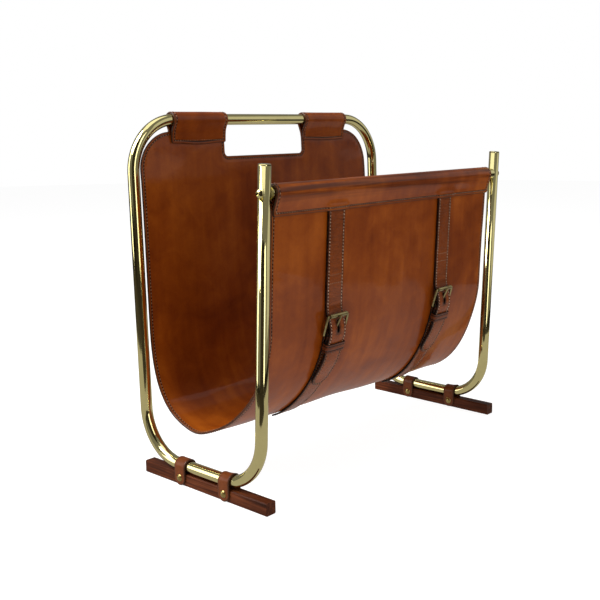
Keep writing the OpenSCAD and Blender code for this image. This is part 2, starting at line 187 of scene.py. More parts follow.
def new_object(name, verts, faces, material, attrs=None, uv=None):
    """A piece that rides on the rack, from its points in millimetres."""
    mesh = bpy.data.meshes.new(name)
    mesh.from_pydata([tuple(v) for v in np.asarray(verts) * MM], [], faces)
    mesh.validate()
    for key, values in (attrs or {}).items():
        a = mesh.attributes.new(key, "FLOAT", "POINT")
        a.data.foreach_set("value", np.asarray(values, np.float32))
    if uv is not None:
        layer = mesh.uv_layers.new(name="flat")
        idx = np.zeros(len(mesh.loops), np.int32)
        mesh.loops.foreach_get("vertex_index", idx)
        layer.data.foreach_set("uv", (np.asarray(uv) * MM)[idx].astype(np.float32).ravel())
    mesh.polygons.foreach_set("use_smooth", [True] * len(mesh.polygons))
    obj = bpy.data.objects.new(name, mesh)
    bpy.context.scene.collection.objects.link(obj)
    mesh.materials.append(material)
    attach(obj, "rack")
    return obj


# ---- cut pieces of leather ----
def inside(points, loops):
    """Even-odd test of many points against closed loops."""
    points = np.asarray(points)
    odd = np.zeros(len(points), bool)
    for a in loops:
        b = np.roll(a, -1, 0)
        for k in range(0, len(points), BATCH):
            x, y = points[k:k + BATCH, 0][:, None], points[k:k + BATCH, 1][:, None]
            cross = (a[:, 1] > y) != (b[:, 1] > y)
            dy = np.where(b[:, 1] == a[:, 1], 1e-9, b[:, 1] - a[:, 1])
            hit = x < (b[:, 0] - a[:, 0]) * (y - a[:, 1]) / dy + a[:, 0]
            odd[k:k + BATCH] ^= (np.count_nonzero(cross & hit, axis=1) % 2).astype(bool)
    return odd


def inset(loop, amount):
    """A closed loop moved towards its left side."""
    ahead = unit(np.roll(loop, -1, 0) - loop)
    back = unit(loop - np.roll(loop, 1, 0))
    left = unit(np.stack([-(ahead[:, 1] + back[:, 1]), ahead[:, 0] + back[:, 0]], 1))
    cosine = np.clip(np.sum(left * np.stack([-ahead[:, 1], ahead[:, 0]], 1), 1), 0.5, 1)
    return loop + left * (amount / cosine)[:, None]


def close_resample(loop, step):
    """A closed polygon with points every step or so; corners stay."""
    out = []
    loop = np.asarray(loop, float)
    for a, b in zip(loop, np.roll(loop, -1, 0)):
        n = max(1, int(math.ceil(np.linalg.norm(b - a) / step)))
        out += [a + (b - a) * i / n for i in range(n)]
    return np.array(out)


def distance(points, loops):
    """How far each point lies from the nearest point of the loops."""
    ring = np.concatenate([close_resample(c, 0.8) for c in loops])
    out = np.empty(len(points))
    for k in range(0, len(points), BATCH):
        part = points[k:k + BATCH]
        out[k:k + BATCH] = np.sqrt(((part[:, None] - ring[None]) ** 2).sum(-1).min(1))
    return out


def groove_rows(loops, groove):
    """Rows of points beside the outline, for the groove in which its stitches lie, and their depths."""
    rows, depths = [], []
    for off, deep in ((groove - 1.3, 0.0), (groove - 0.5, 1.0), (groove + 0.5, 1.0), (groove + 1.3, 0.0)):
        row = inset(loops[0], off)
        row = row[distance(row, loops) > 0.95 * off]
        rows.append(row)
        depths += [deep] * len(row)
    return rows, depths


def triangulate(rims, others, depths):
    """Triangles between closed rims, over the other points, the first of which have a depth. Gives
    the points, the triangles, the points' depths, and which point each given one became."""
    flat = np.concatenate(rims + others)
    sunk = np.zeros(len(flat))
    first = sum(len(c) for c in rims)
    sunk[first:first + len(depths)] = depths
    edges, at = [], 0
    for c in rims:
        n = len(c)
        edges += [(at + i, at + (i + 1) % n) for i in range(n)]
        at += n
    out = delaunay_2d_cdt([Vector(p) for p in flat], edges, [], 0, 1e-6)
    points = np.array([tuple(p) for p in out[0]])
    became = {k: i for i, given in enumerate(out[3]) for k in given}
    deep = np.array([max([sunk[k] for k in given], default=0.0) for given in out[3]])
    tri = np.array([f for f in out[2] if len(f) == 3])
    tri = tri[inside(points[tri].mean(1), rims)]
    a = points[tri]
    area = np.cross(a[:, 1] - a[:, 0], a[:, 2] - a[:, 0])
    return points, np.where((area < 0)[:, None], tri[:, ::-1], tri), deep, became


def edge_profile(half, bevel, seam):
    """The rows round a cut edge, as (how far in, how far off the middle); a seam shows as a line."""
    rows = [(0.3 * bevel, half - 0.3 * bevel), (0, half - bevel)]
    if seam:
        rows += [(0.0, 0.22), (0.28, 0.0), (0.0, -0.22)]
    return rows + [(0, bevel - half), (0.3 * bevel, 0.3 * bevel - half)]


def leather(name, loops, ribbon, half, material, du=6.0, dv=3.0, edge_step=1.5, bevel=0.5,
            lift=level, seam=False, warp=None, crown=0.0, v_rows=None, groove=0.0):
    """A cut piece of leather, half its thickness to each side of a ribbon: its flat outline (first
    loop, anticlockwise, then holes, clockwise) is laid on the ribbon, with rounded cut edges."""
    loops = [close_resample(c, edge_step) for c in loops]
    inner = [inset(c, bevel) for c in loops]
    lo, hi = loops[0].min(0), loops[0].max(0)
    us = np.linspace(lo[0], hi[0], max(3, int((hi[0] - lo[0]) / du) + 1))
    vs = v_rows
    if vs is None:
        vs = np.linspace(lo[1], hi[1], max(3, int((hi[1] - lo[1]) / dv) + 1))
    grid = np.stack(np.meshgrid(us, vs), -1).reshape(-1, 2)
    rows_in, depths = groove_rows(loops, groove) if groove else ([], [])
    margin = groove + 2.0 if groove else bevel + min(1.6, 0.4 * du)
    grid = grid[inside(grid, loops)]
    grid = grid[distance(grid, loops) > margin]
    pts, tri, deep, became = triangulate(inner, rows_in + [grid], depths)
    count = len(pts)
    half_u, mid_u = (hi[0] - lo[0]) / 2, (hi[0] + lo[0]) / 2

    def place(u, v, d):
        bulge = crown * (1 - np.clip(np.abs(u - mid_u) / half_u, 0, 1) ** 2)
        return ribbon.place(u, v, d + (lift(u, v) + bulge))

    verts = [place(pts[:, 0], pts[:, 1], half - GROOVE_DEPTH * deep),
             place(pts[:, 0], pts[:, 1], GROOVE_DEPTH * deep - half)]
    uv = [pts, pts + [0.37, 0.11]]  # so that the grain of the two faces differs
    edge = [np.zeros(count), np.zeros(count)]
    rim = np.array([became[k] for k in range(sum(len(c) for c in inner))])
    edge[0][rim] = edge[1][rim] = 0.75
    # the ribbon's normal is along x width, so a left-turning triangle faces the side at -half
    faces = [tuple(int(x) for x in f[::-1]) for f in tri]
    faces += [tuple(int(x) + count for x in f) for f in tri]
    base = 2 * count
    start = 0
    for c in loops:
        n = len(c)
        ring = [[became[start + i] for i in range(n)]]
        for back, d in edge_profile(half, bevel, seam):
            q = inset(c, back) if back else c
            verts.append(place(q[:, 0], q[:, 1], np.full(n, d)))
            uv.append(q)
            edge.append(np.full(n, 1.0))
            ring.append([base + i for i in range(n)])
            base += n
        ring.append([became[start + i] + count for i in range(n)])
        for r0, r1 in zip(ring, ring[1:]):
            for i in range(n):
                j = (i + 1) % n
                faces.append((r0[i], r0[j], r1[j], r1[i]))
        start += n
    verts = np.concatenate(verts)
    if warp is not None:
        verts = warp(verts)
    marks = {"edge": np.concatenate(edge),
             "groove": np.concatenate([deep, deep, np.zeros(base - 2 * count)])}
    return new_object(name, verts, faces, material, marks, np.concatenate(uv))


# ---- stitches ----
def capsule(length, radius, sides=8):
    """A short thread along x, its ends round and drawn down into the leather, and its faces."""
    xs = np.array([-0.5, -0.42, -0.25, 0.0, 0.25, 0.42, 0.5]) * length
    rs = np.array([0.15, 0.7, 0.95, 1.0, 0.95, 0.7, 0.15]) * radius
    drop = np.array([-0.55, -0.3, -0.05, 0.0, -0.05, -0.3, -0.55]) * radius * 1.6
    a = np.linspace(0, 2 * math.pi, sides, endpoint=False)
    verts = np.array([(x, r * math.cos(k), r * math.sin(k) + z) for x, r, z in zip(xs, rs, drop)
                      for k in a])
    return verts, hoops(len(xs), sides) + lids(len(xs), sides)


class Stitching:
    """Many stitches in one piece."""

    def __init__(self, length, radius):
        self.template = capsule(length, radius)
        self.verts, self.faces, self.count = [], [], 0

    def add(self, origin, along, normal, slant):
        x = unit(along)
        z = unit(normal - np.sum(normal * x) * x)
        y = np.cross(z, x)
        x, y = x * math.cos(slant) + y * math.sin(slant), y * math.cos(slant) - x * math.sin(slant)
        v, f = self.template
        self.verts.append(v @ np.stack([x, y, z]) + origin)
        self.faces += [tuple(i + self.count for i in face) for face in f]
        self.count += len(v)

    def row(self, ribbon, line, d, pitch=3.7, lift=level, slant=0.16, side=1):
        """Stitches along a flat line, d off the ribbon; side is the face that they lie on."""
        q = resample(line, pitch)
        mid = (q[1:] + q[:-1]) / 2
        step = unit(q[1:] - q[:-1])
        at = ribbon.place(mid[:, 0], mid[:, 1], d + lift(mid[:, 0], mid[:, 1]))
        t, n = ribbon.along(mid[:, 1]), unit(ribbon.look(ribbon.n, mid[:, 1]))
        for i in range(len(mid)):
            along = step[i, 0] * ribbon.w + step[i, 1] * t[i]
            self.add(at[i], along, n[i] * side, slant * side + random.uniform(-0.05, 0.05))

    def build(self, name, material, slot):
        new_object(name, np.concatenate(self.verts), self.faces, material)


# ---- materials ----
class Nodes:
    """A principled material and short names for the nodes that feed it."""

    def __init__(self, name):
        self.mat = bpy.data.materials.new(name)
        self.mat.use_nodes = True
        self.t = self.mat.node_tree
        self.t.nodes.clear()
        out = self.t.nodes.new("ShaderNodeOutputMaterial")
        self.b = self.t.nodes.new("ShaderNodeBsdfPrincipled")
        self.t.links.new(self.b.outputs[0], out.inputs["Surface"])

    def put(self, socket, value):
        if isinstance(value, bpy.types.NodeSocket):
            self.t.links.new(value, socket)
        else:
            socket.default_value = value

    def set(self, **inputs):
        for k, v in inputs.items():
            self.put(self.b.inputs[k.replace("_", " ")], v)

    def mapping(self, vector, scale):
        n = self.t.nodes.new("ShaderNodeMapping")
        self.put(n.inputs["Vector"], vector)
        n.inputs["Scale"].default_value = scale
        return n.outputs[0]

    def noise(self, vector, scale, detail=3.0, rough=0.55, distort=0.0):
        n = self.t.nodes.new("ShaderNodeTexNoise")
        self.put(n.inputs["Vector"], vector)
        n.inputs["Scale"].default_value = scale
        n.inputs["Detail"].default_value = detail
        n.inputs["Roughness"].default_value = rough
        n.inputs["Distortion"].default_value = distort
        return n.outputs["Fac"]

    def streaks(self, vector, scale, detail=3.0, rough=0.55, distort=0.0):
        """Noise that is drawn out: scale gives its own fineness to each direction."""
        return self.noise(self.mapping(vector, scale), 1.0, detail, rough, distort)

    def voronoi(self, vector, scale):
        n = self.t.nodes.new("ShaderNodeTexVoronoi")
        self.put(n.inputs["Vector"], vector)
        n.inputs["Scale"].default_value = scale
        return n.outputs["Distance"]

    def ramp(self, fac, stops):
        n = self.t.nodes.new("ShaderNodeValToRGB")
        self.put(n.inputs["Fac"], fac)
        e = n.color_ramp.elements
        while len(e) < len(stops):
            e.new(0.5)
        for k, (pos, col) in enumerate(stops):
            e[k].position = pos
            e[k].color = (*col, 1)
        return n.outputs["Color"]

    def fit(self, value, a, b, c, d):
        """The range a to b stretched to c to d, and held at its ends."""
        n = self.t.nodes.new("ShaderNodeMapRange")
        self.put(n.inputs["Value"], value)
        for k, x in zip(("From Min", "From Max", "To Min", "To Max"), (a, b, c, d)):
            n.inputs[k].default_value = x
        return n.outputs["Result"]

    def math(self, op, a, b=0.0, clamp=False):
        n = self.t.nodes.new("ShaderNodeMath")
        n.operation = op
        n.use_clamp = clamp
        self.put(n.inputs[0], a)
        self.put(n.inputs[1], b)
        return n.outputs[0]

    def weighted(self, *terms):
        """The sum of some values, each times its own weight."""
        total = None
        for value, weight in terms:
            part = self.math("MULTIPLY", value, weight)
            total = part if total is None else self.math("ADD", total, part)
        return total

    def mix(self, fac, a, b):
        n = self.t.nodes.new("ShaderNodeMix")
        n.data_type = "RGBA"
        self.put(n.inputs["Factor"], fac)
        for k, x in ((6, a), (7, b)):
            self.put(n.inputs[k], x if isinstance(x, bpy.types.NodeSocket) else (*x, 1))
        return n.outputs[2]

    def attribute(self, name):
        n = self.t.nodes.new("ShaderNodeAttribute")
        n.attribute_name = name
        return n.outputs["Fac"]

    def uv(self):
        n = self.t.nodes.new("ShaderNodeUVMap")
        n.uv_map = "flat"
        return n.outputs[0]

    def along(self, flat):
        """How far down its piece a point of the flat leather lies."""
        n = self.t.nodes.new("ShaderNodeSeparateXYZ")
        self.put(n.inputs[0], flat)
        return n.outputs["Y"]

    def object(self):
        return self.t.nodes.new("ShaderNodeTexCoord").outputs["Object"]

    def bump(self, height, strength, distance, normal=None):
        n = self.t.nodes.new("ShaderNodeBump")
        n.inputs["Strength"].default_value = strength
        n.inputs["Distance"].default_value = distance
        self.put(n.inputs["Height"], height)
        if normal is not None:
            self.put(n.inputs["Normal"], normal)
        return n.outputs[0]


def leather_material(name, tones, edge, rough=0.45, coat=0.36, streaks=0.1, creases=0.0, painted_shade_span=None):
    """Glazed hide: its three tones from dark to light, the colour of its cut edges (on the straps dark enough
    to hold painted shadow too), and, where it is rolled round a bar, from and to which distance down the
    piece it gets dark streaks of painted shade, standing for the dark reflections along the sleeve."""
    m = Nodes(name)
    flat = m.uv()
    cloud = m.noise(flat, 9.0, 4, 0.55, 0.6)
    patch = m.noise(flat, 38.0, 4, 0.6, 0.8)
    drawn = m.streaks(flat, (70.0, 5.0, 1.0), 3, 0.55, 0.3)
    fleck = m.noise(flat, 420.0, 3, 0.6)
    tone = m.weighted((cloud, 0.62), (patch, 0.26), (drawn, streaks * 0.5), (fleck, 0.10))
    low = 0.36 + streaks * 0.16
    base = m.ramp(m.fit(tone, low, low + 0.34, 0, 1), list(zip((0.0, 0.5, 1.0), tones)))
    # painted shade: dark streaks along the sleeve round the crossbar, in place of the dark reflections along
    # its top
    if painted_shade_span:
        start, end = painted_shade_span
        at = m.along(flat)
        near = m.math("MULTIPLY", m.fit(at, start, start + 0.008, 0, 1), m.fit(at, end - 0.012, end, 1, 0))
        painted_shade_streak = m.fit(m.streaks(flat, (5.0, 150.0, 1.0), 3, 0.55, 0.4), 0.42, 0.60, 0.05, 0.8)
        base = m.mix(m.math("MULTIPLY", near, painted_shade_streak), base, (0.050, 0.008, 0.0006))
    # the cut edges take the edge colour, patchy as wear; on the straps that colour also holds painted shadow
    edge_wear_and_shade = m.math("MULTIPLY", m.fit(m.noise(flat, 190.0, 2, 0.5), 0.35, 0.65, 0.75, 1.0), m.attribute("edge"))
    base = m.mix(m.fit(edge_wear_and_shade, 0.15, 0.85, 0, 1), base, edge)
    # painted shade: the sunk stitch grooves and creases are darkened nearly to black
    base = m.mix(m.fit(m.attribute("groove"), 0.0, 1.0, 0.0, 0.92), base, (0.014, 0.004, 0.0015))
    sheen = m.fit(m.weighted((patch, 0.6), (fleck, 0.4)), 0.3, 0.7, rough - 0.08, rough + 0.10)
    m.set(Base_Color=base, Roughness=sheen, Coat_Weight=coat, Coat_Roughness=0.08, Specular_IOR_Level=0.08)
    wave = m.noise(flat, 26.0, 3, 0.5, 0.5)
    grain = m.weighted((m.voronoi(flat, 1250.0), 0.7), (m.noise(flat, 2600.0, 2, 0.5), 0.3))
    relief = m.bump(grain, 0.22, 0.00022, m.bump(wave, 0.30, 0.0016))
    if creases:
        fold = m.streaks(flat, (60.0, 210.0, 1.0), 3, 0.6, 1.6)
        ridge = m.math("ABSOLUTE", m.math("SUBTRACT", fold, 0.5))
        relief = m.bump(m.fit(ridge, 0.0, 0.06, 0.0, 1.0), creases, 0.0005, relief)
    m.set(Normal=relief, Coat_Normal=m.bump(m.weighted((wave, 1.0), (patch, 0.3)), 0.25, 0.0016))
    return m.mat


def brass_material(name, clean, rough, tarnish, dark=(0.20, 0.12, 0.03)):
    """Metal under an uneven film; tarnish is how much of the dark colour shows."""
    m = Nodes(name)
    at = m.object()
    film = m.noise(at, 34.0, 4, 0.6, 0.4)
    spots = m.noise(at, 260.0, 3, 0.6)
    patches = m.fit(m.weighted((film, 0.7), (spots, 0.3)), 0.42, 0.68, 0, 1)
    amount = m.math("MULTIPLY", patches, tarnish, clamp=True)
    m.set(Base_Color=m.mix(amount, clean, dark), Metallic=1.0)
    m.set(Roughness=m.fit(m.weighted((amount, 1.0), (spots, 0.2)), 0.0, 0.6, rough * 0.8, rough * 2.0 + 0.08))
    m.set(Normal=m.bump(m.noise(at, 900.0, 2, 0.5), 0.04, 0.0002))
    return m.mat


def wood_material(name, tones, pores):
    """Dark oiled wood, its grain along the foot."""
    m = Nodes(name)
    at = m.object()
    grain = m.streaks(at, (420.0, 14.0, 420.0), 5, 0.65, 0.5)
    lines = m.streaks(at, (1500.0, 30.0, 1500.0), 3, 0.6)
    tone = m.fit(m.weighted((grain, 0.7), (m.noise(at, 22.0, 3, 0.5), 0.3)), 0.34, 0.66, 0, 1)
    base = m.mix(m.fit(lines, 0.55, 0.75, 0.0, 0.55), m.ramp(tone, list(zip((0.0, 0.5, 1.0), tones))), pores)
    m.set(Base_Color=base, Roughness=m.fit(grain, 0.3, 0.7, 0.30, 0.46))
    m.set(Coat_Weight=0.06, Coat_Roughness=0.25, Specular_IOR_Level=0.06)
    m.set(Normal=m.bump(lines, 0.18, 0.0002, m.bump(grain, 0.18, 0.0004)))
    return m.mat


def thread_material(name, light, dark):
    m = Nodes(name)
    at = m.object()
    twist = m.noise(at, 1400.0, 2, 0.5)
    shade = m.fit(m.weighted((twist, 0.5), (m.noise(at, 240.0, 2, 0.5), 0.5)), 0.4, 0.6, 0, 1)
    m.set(Base_Color=m.mix(shade, dark, light), Roughness=0.6, Sheen_Weight=0.2)
    m.set(Normal=m.bump(twist, 0.5, 0.0003))
    return m.mat


LEATHER = leather_material("sling_leather",
                           [(0.105, 0.0155, 0.0007), (0.190, 0.0360, 0.0013), (0.280, 0.0640, 0.0033)],
                           (0.050, 0.016, 0.006), streaks=0.5, painted_shade_span=(0.012, 0.055))
# the straps' nearly black cut edges: their dark edge paint together with painted shadow of the gap beside
# them
STRAP = leather_material("strap_leather",
                         [(0.090, 0.018, 0.003), (0.190, 0.040, 0.005), (0.300, 0.075, 0.010)],
                         (0.008, 0.004, 0.003), rough=0.40, creases=0.8)
LOOP = leather_material("loop_leather", [(0.080, 0.017, 0.003), (0.140, 0.035, 0.006), (0.210, 0.060, 0.013)],
                        (0.05, 0.018, 0.008), coat=0.15)
BRASS = brass_material("polished_brass", (0.700, 0.620, 0.290), 0.05, 0.12)
RIVET = brass_material("rivet_brass", (0.380, 0.285, 0.100), 0.20, 0.6)
ANTIQUE = brass_material("antique_brass", (0.400, 0.330, 0.150), 0.15, 0.85, (0.070, 0.050, 0.020))
STEEL = brass_material("insert_steel", (0.55, 0.55, 0.56), 0.25, 0.3, (0.2, 0.2, 0.2))
WOOD = wood_material("foot_wood", [(0.020, 0.0045, 0.0012), (0.060, 0.0135, 0.0036), (0.130, 0.034, 0.010)],
                     (0.016, 0.006, 0.004))
THREAD_DARK = thread_material("thread_dark", (0.300, 0.135, 0.050), (0.100, 0.035, 0.012))
THREAD_LIGHT = thread_material("thread_light", (0.560, 0.370, 0.240), (0.200, 0.095, 0.050))


def paint(names, material):
    for n in names:
        data = nodes[n].data
        data.materials.clear()
        data.materials.append(material)


def pairs(*kinds):
    return [f"{kind}_{side}" for kind in kinds for side in SIDES]


paint(["crossbar"] + pairs("end_plug", "crossbar_screw"), BRASS)
paint(["crossbar_inserts"], STEEL)
paint(pairs("rivet_posts", "rivet_caps"), RIVET)
paint(pairs("buckle_frame", "buckle_roller", "buckle_prong"), ANTIQUE)
paint(pairs("foot"), WOOD)


# ---- the frame tube: one bent tube ----
def fillet_line(corners, radii, step_deg=3.0):
    """A line through corners, each rounded to its radius."""
    out = [np.array(corners[0], float)]
    for a, b, c, r in zip(corners, corners[1:], corners[2:], radii):
        a, b, c = (np.array(p, float) for p in (a, b, c))
        u, w = unit(a - b), unit(c - b)
        turn = math.acos(np.clip(np.dot(u, w), -1, 1))
        cut = r / math.tan(turn / 2)
        centre = b + unit(u + w) * r / math.sin(turn / 2)
        p, q = b + u * cut - centre, b + w * cut - centre
        total = math.acos(np.clip(np.dot(unit(p), unit(q)), -1, 1))
        n = max(4, int(math.degrees(total) / step_deg))
        for i in range(n + 1):
            k = i / n
            out.append(centre + (math.sin((1 - k) * total) * p + math.sin(k * total) * q) / math.sin(total))
    out.append(np.array(corners[-1], float))
    return np.array(out)


def tube(name, line, radius, sides, material):
    t = np.gradient(line, axis=0)
    t[1:-1] = unit(line[2:] - line[1:-1]) + unit(line[1:-1] - line[:-2])
    t = unit(t)
    n = unit(np.cross(t[0], [0.3, 1.0, 0.2]))
    verts = []
    a = np.linspace(0, 2 * math.pi, sides, endpoint=False)
    for p, d in zip(line, t):
        n = unit(n - np.dot(n, d) * d)
        b = np.cross(d, n)
        verts.append(p + radius * (np.cos(a)[:, None] * n + np.sin(a)[:, None] * b))
    faces = hoops(len(line), sides) + lids(len(line), sides)
    return new_object(name, np.concatenate(verts), faces, material)


half_w = FRAME_W / 2
end_z = FRONT_END_Z - PLUG_T * math.cos(FRONT_LEAN)
end_y = BASE_Y0 - (end_z - BASE_Z) * math.tan(FRONT_LEAN)
side_yz = [(end_y, end_z), (BASE_Y0, BASE_Z), (BASE_Y1, BASE_Z), (RAIL_Y, RAIL_Z)]
corners = [(-half_w, y, z) for y, z in side_yz] + [(half_w, y, z) for y, z in side_yz[::-1]]
tube_obj = tube("bent_tube", fillet_line(corners, [LOW_R, LOW_R, TOP_R, TOP_R, LOW_R, LOW_R]),
                TUBE_R, 56, BRASS)
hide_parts("frame_tube")

# ---- the sling's line, from the seam under the crossbar round to the seam at the rail ----
front_seam = np.array([BAR_Y + 1.2, 295.5])
front_low = np.array([BASE_Y0 - 6.1, 180.0])
low_point = np.array([11.3, 56.5])
back_low = np.array([BASE_Y1 + 0.8, 158.0])
back_seam = np.array([RAIL_Y + 0.7, 361.0])
front_pull, back_pull = unit(front_low - front_seam), unit(back_seam - back_low)


def hang_line(steps):
    return np.concatenate([
        [front_seam, (front_seam + front_low) / 2],
        bezier(front_low, front_low + 50 * front_pull, low_point - [62, 0], low_point, steps),
        bezier(low_point, low_point + [48, 0], back_low - 85 * back_pull, back_low, steps)[1:],
        [(back_low + back_seam) / 2, back_seam]])


wrap_r = TUBE_R + 0.25 + HALF_T
flap = np.concatenate([
    [front_seam + [-2.7, -3], front_seam + [-3.0, 3]], arc((BAR_Y, BAR_Z), wrap_r, 199, -24, 60),
    [[front_seam[0] + 2.2, 304]]])
tab = np.concatenate([
    [back_seam + [1.1, 7]], arc((RAIL_Y, RAIL_Z), wrap_r, -12, 226, 66),
    [(RAIL_Y - 2.6, 372.0), back_seam + [-2.7, 5], back_seam + [-2.5, -2.5], back_seam + [-2.5, -8]]])
sheet_yz = relax(resample(np.concatenate([flap, hang_line(60), tab]), 1.0), 1.6)
sheet_line = flat_ribbon(sheet_yz)
sheet_s = sheet_line.s
low_i = int(np.argmin(sheet_yz[:, 1]))
v_low = sheet_s[low_i]
FLAP_POINTS = 45  # the flap also passes the seam, so its points are left out of the search
v_seam = sheet_s[int(np.argmin(np.linalg.norm(sheet_yz[:low_i] - front_seam, axis=1) +
                         100 * (np.arange(low_i) < FLAP_POINTS)))]
back = np.arange(low_i, low_i + int(np.argmax(sheet_yz[low_i:, 1])))


def v_back(z):
    """Distance along the sheet at height z on the back panel."""
    return float(np.interp(z, sheet_yz[back, 1], sheet_s[back]))


V_END = sheet_s[-1] - 5.5
x0, x1 = SLING_X - SLING_W / 2 + 1.5, SLING_X + SLING_W / 2
hand_x0, hand_x1 = SLING_X - HAND_W / 2, SLING_X + HAND_W / 2
tab_x0, tab_x1 = SLING_X - TABS_W / 2, SLING_X + TABS_W / 2
STRAP_X = [SLING_X + k * STRAP_GAP / 2 for k in (-1, 1)]
v_back_seam = v_back(back_seam[1])
v_top = v_back(PANEL_TOP)
v_hand = v_back(HAND_Z)


def belly(v):
    """1 on the lower front of the sling, 0 elsewhere."""
    return smooth(v_seam + 150, v_seam + 240, v) * (1 - smooth(v_low - 45, v_low + 35, v))


def belly_twist(u):
    """The lower front hangs a little higher at the left end and lower at the right end."""
    return np.interp(u, [-194.0, -60.0, 0.0, 90.0, 184.0], [-5.5, -2.0, 0.0, 3.0, 5.0])


def sling_lift(u, v):
    """How far the sheet stands off its line: soft waves where it hangs free and no strap lies on it,
    the belly's twist, a droop at the left end, a hump over each strap's sewn end, and the waves of
    the tabs on the rail."""
    u, v = np.asarray(u, float), np.asarray(v, float)
    free = smooth(v_seam + 8, v_seam + 60, v) * (1 - smooth(v_back_seam - 45, v_back_seam - 12, v))
    for x in STRAP_X:
        near = 1 - smooth(15, 48, np.abs(u - x))
        free = free * (1 - near * (1 - smooth(v_seam + 262, v_seam + 300, v)))
    waves = (0.81 * np.sin(u / 61 + 1.3) * np.sin(v / 95 + 0.4) + 0.495 * np.sin(u / 27 + v / 60)
             + 0.315 * np.sin(u / 15 - v / 38 + 2.0))
    end = 1 - smooth(x0, x0 + 100, u)
    droop = 3.4 * np.exp(-((v - v_low - 8) / 18) ** 2) - 0.8 * np.exp(-((v - v_low - 62) / 26) ** 2)
    out = free * waves + belly(v) * belly_twist(u) + end * droop
    for x in STRAP_X:
        across = 1 - smooth(STRAP_W / 2 - 1.0, STRAP_W / 2 + 7, np.abs(u - x))
        out = out - 2.4 * across * (1 - smooth(4.5, 11, v))
    on_rail = smooth(v_back_seam + 30, v_back_seam + 38, v)
    return out + on_rail * 0.25 * np.sin(u / 9.0 + 0.5) * np.sin(v / 7.0)


def corner(cx, cv, r, a0, a1, n=10):
    return [tuple(p) for p in arc((cx, cv), r, a0, a1, n)]


def panel_corner(side, inwards=0.0):
    """The round top corner of the back panel, from its side up to its top edge."""
    cx = (x1 - PANEL_R) if side > 0 else (x0 + PANEL_R)
    r = PANEL_R - inwards
    angles = [math.radians(90 * k / 24) for k in range(25)]
    return [(cx + side * r * math.cos(a), v_back(PANEL_TOP - PANEL_R + r * math.sin(a))) for a in angles]


def tab_end(xa, xb, droop):
    """The free end of a tab, from xa to xb, its corners eased and its middle drooping."""
    r = 1.6
    s = 1 if xb > xa else -1
    pts = [(xa, V_END - r), (xa + s * 0.5, V_END - 0.5), (xa + s * r, V_END)]
    for k in range(1, 24):
        f = k / 24
        pts.append((xa + s * r + (xb - xa - 2 * s * r) * f, V_END + droop * math.sin(math.pi * f) ** 2))
    return pts + [(xb - s * r, V_END), (xb - s * 0.5, V_END - 0.5), (xb, V_END - r)]


def sheet_rows():
    """Rows of points across the sheet, closer together where it bends."""
    bend = np.linalg.norm(np.gradient(unit(np.gradient(sheet_yz, axis=0)), axis=0), axis=1)
    rows = [0.8]
    while rows[-1] < sheet_s[-1] - 1:
        here = np.interp(rows[-1], sheet_s, bend)
        rows.append(rows[-1] + float(np.clip(0.10 / max(here, 1e-4), 1.4, 5.0)))
    return np.array(rows)


# anticlockwise: along the flap's end, up the right side, over both tabs, down the left side
outline = [(x0 + 1.5, 0), (x1 - 1.5, 0), (x1, 1.5)]
outline += panel_corner(1)
outline += [(tab_x1 + 2.0, v_top), (tab_x1 + 0.5, v_top + 0.6), (tab_x1, v_top + 2.5)]
outline += tab_end(tab_x1, hand_x1, 1.0)
outline += [(hand_x1, v_hand + HAND_R)] + corner(hand_x1 - HAND_R, v_hand + HAND_R, HAND_R, 0, -90)[1:]
outline += corner(hand_x0 + HAND_R, v_hand + HAND_R, HAND_R, -90, -180)
outline += tab_end(hand_x0, tab_x0, 1.8)
outline += [(tab_x0, v_top + 2.5), (tab_x0 - 0.5, v_top + 0.6), (tab_x0 - 2.0, v_top)]
outline += panel_corner(-1)[::-1]
outline += [(x0, 1.5)]
sling = leather("sling", [outline], sheet_line, HALF_T, LEATHER, lift=sling_lift,
                seam=True, bevel=0.55, v_rows=sheet_rows(), groove=EDGE_SEAM)
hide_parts("sling_outer_skin", "sling_inner_skin")
cut = np.array(outline)


def sling_stitching():
    """The edge stitching on both faces, then the rows that close the sleeve and the tabs outside."""
    thread = Stitching(2.0, 0.48)
    side_top = v_back(PANEL_TOP - PANEL_R)
    round_hand = [(hand_x1 + EDGE_SEAM, v_back_seam - 3), (hand_x1 + EDGE_SEAM, v_hand + HAND_R)]
    round_hand += corner(hand_x1 - HAND_R, v_hand + HAND_R, HAND_R + EDGE_SEAM, 0, -90)[1:]
    round_hand += corner(hand_x0 + HAND_R, v_hand + HAND_R, HAND_R + EDGE_SEAM, -90, -180)
    round_hand += [(hand_x0 - EDGE_SEAM, v_back_seam - 3)]
    for face in (1, -1):
        lines = []
        for side, x in ((1, x1 - EDGE_SEAM), (-1, x0 + EDGE_SEAM)):
            lines.append([(x, 3.2), (x, side_top)] + panel_corner(side, EDGE_SEAM)[1:])
        lines.append(round_hand)
        for xa, xb in ((tab_x0, hand_x0), (hand_x1, tab_x1)):
            lines += [[(x, v_top + 8), (x, V_END - 3.4)] for x in (xa + EDGE_SEAM, xb - EDGE_SEAM)]
        for line in lines:
            thread.row(sheet_line, line, face * HALF_T, lift=sling_lift, side=face)
    for v in (3.2, v_seam):
        thread.row(sheet_line, [(x0 + 2.5, v), (x1 - 2.5, v)], -HALF_T, 3.5, sling_lift, side=-1)
    for xa, xb in ((tab_x0, hand_x0), (hand_x1, tab_x1)):
        for v in (V_END - 3.0, v_back_seam):
            thread.row(sheet_line, [(xa + 3, v), (xb - 3, v)], HALF_T, 3.5, sling_lift)
    thread.build("sling_stitching", THREAD_DARK, "sling_leather")


sling_stitching()

